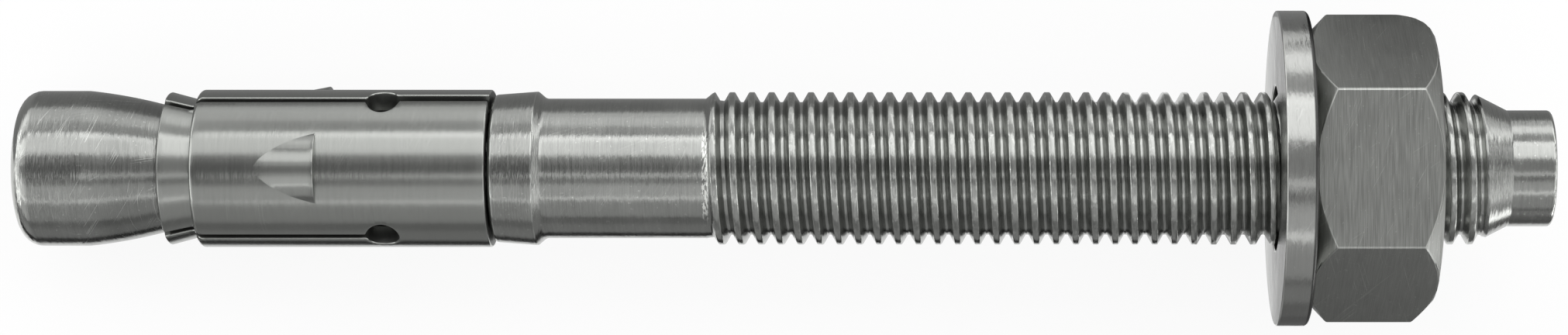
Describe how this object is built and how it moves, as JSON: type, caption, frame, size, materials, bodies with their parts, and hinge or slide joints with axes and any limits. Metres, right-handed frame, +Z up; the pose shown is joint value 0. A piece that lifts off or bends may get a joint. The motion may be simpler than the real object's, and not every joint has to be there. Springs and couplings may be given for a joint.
{
  "type": "wedge anchor",
  "caption": "Steel wedge anchor: cone bolt with a slotted, barbed expansion clip, collar, threaded shank and hammer pin, carrying a flat washer and a chamfered hex nut.",
  "frame": {"origin": "on the floor that the anchor lies on, below the middle of its length", "axes": "+Z up, +X from the cone end towards the nut and the hammer pin; the anchor's own axis lies in the XZ plane and rises by 3.72 degrees towards +X, because the washer is wider than the cone"},
  "size_m": [0.0972, 0.02, 0.0201],
  "materials": {
    "bolt_steel": "turned, bright",
    "clip_steel": "satin sheet",
    "washer_steel": "stamped, matt faces",
    "nut_steel": "cold formed, brushed flats"
  },
  "bodies": {
    "bolt": {"anchor_bolt": "bolt_steel"},
    "clip": {"expansion_clip": "clip_steel"},
    "washer": {"flat_washer": "washer_steel"},
    "nut": {"hex_nut": "nut_steel"}
  },
  "joints": [
    {"name": "clip_turn", "type": "hinge", "parent": "bolt", "child": "clip", "pos_m": [-0.0279, 0, 0.00617], "axis": [0.9979, 0, 0.0649], "continuous": true},
    {"name": "washer_travel", "type": "slide", "parent": "bolt", "child": "washer", "axis": [0.9979, 0, 0.0649], "range_m": [-0.0361, 0.0101]},
    {"name": "nut_turn", "type": "hinge", "parent": "washer", "child": "nut", "pos_m": [0.03295, 0, 0.01012], "axis": [0.9979, 0, 0.0649], "range_deg": [-10368, 2880]}
  ],
  "couplings": [
    {"joint": "washer_travel", "follows": "nut_turn", "m_per_rad": 0.00019894}
  ]
}
